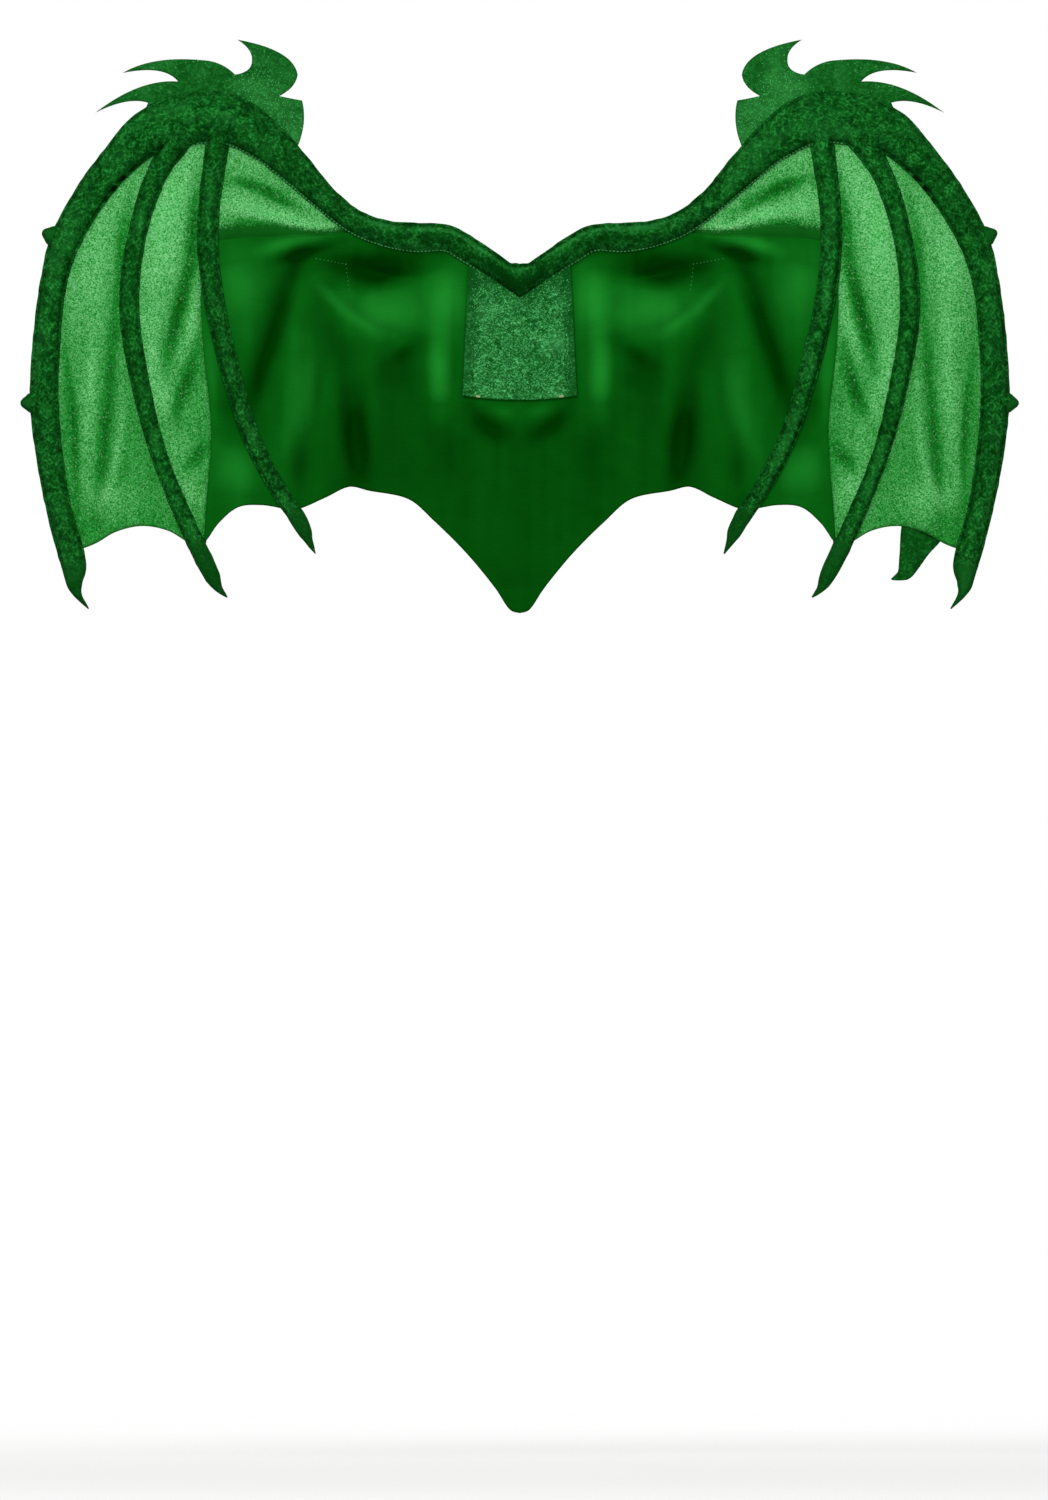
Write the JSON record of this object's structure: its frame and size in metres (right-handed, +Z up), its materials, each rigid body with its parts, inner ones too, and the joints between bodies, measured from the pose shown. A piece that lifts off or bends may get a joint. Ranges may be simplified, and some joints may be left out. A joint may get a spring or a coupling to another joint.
{
  "type": "costume dragon wings",
  "caption": "Spread costume dragon wings with padded velvet ribs, shimmer webs, a satin back drape, flame crests and a fastening patch.",
  "frame": {"origin": "middle of the fastening patch, on the face that lies against the wearer's back", "axes": "seen from behind the wearer: +X to the right along the wings' span, +Z up, +Y into the wearer's back, -Y towards the viewer"},
  "size_m": [0.8978, 0.1094, 0.5159],
  "materials": {
    "velvet": "dark green crushed velvet, padded and topstitched",
    "satin": "green satin knit with a soft sheen",
    "shimmer": "thin green shimmer knit that lets light through",
    "glitter": "crushed velvet with fine glitter",
    "hook_tape": "black hook tape"
  },
  "bodies": {
    "root": {"arm_right": "velvet", "arm_left": "velvet", "middle_finger_right": "velvet", "middle_finger_left": "velvet", "inner_finger_right": "velvet", "inner_finger_left": "velvet", "upper_spur_right": "velvet", "upper_spur_left": "velvet", "lower_spur_right": "velvet", "lower_spur_left": "velvet", "crest_right": "velvet", "crest_left": "velvet", "outer_web_right": "shimmer", "outer_web_left": "shimmer", "middle_web_right": "shimmer", "middle_web_left": "shimmer", "gusset_right": "shimmer", "gusset_left": "shimmer", "drape": "satin", "back_panel": "glitter", "loose_claw": "velvet", "fastening_patch": "hook_tape"}
  },
  "joints": []
}
